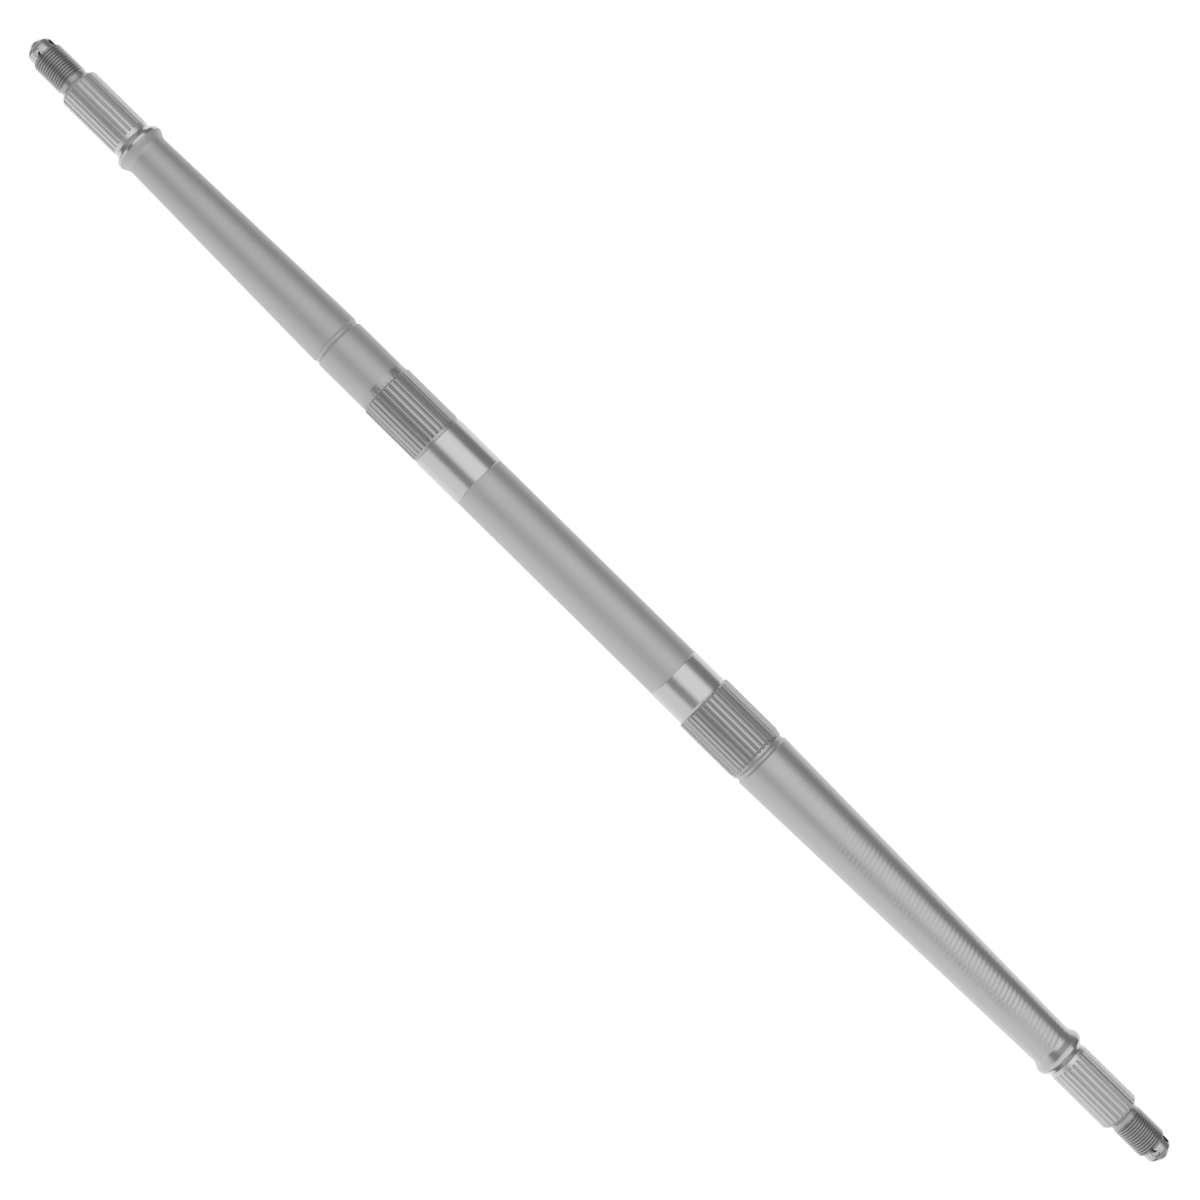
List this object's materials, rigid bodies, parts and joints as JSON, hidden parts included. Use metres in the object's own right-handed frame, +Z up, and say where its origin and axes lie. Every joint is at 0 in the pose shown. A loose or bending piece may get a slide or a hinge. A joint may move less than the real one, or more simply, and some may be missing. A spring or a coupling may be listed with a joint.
{
  "type": "splined axle shaft",
  "caption": "Splined axle shaft with ground bearing seats, splined hub seats, ring grooves, tapered arms, collars and threaded ends cross-drilled for split pins.",
  "frame": {"origin": "on the shaft's axis at mid-length", "axes": "+X along the axis towards the sprocket side, +Z up"},
  "size_m": [0.825, 0.034, 0.034],
  "materials": {
    "steel": "satin"
  },
  "bodies": {
    "root": {"axle_shaft": "steel"}
  },
  "joints": []
}
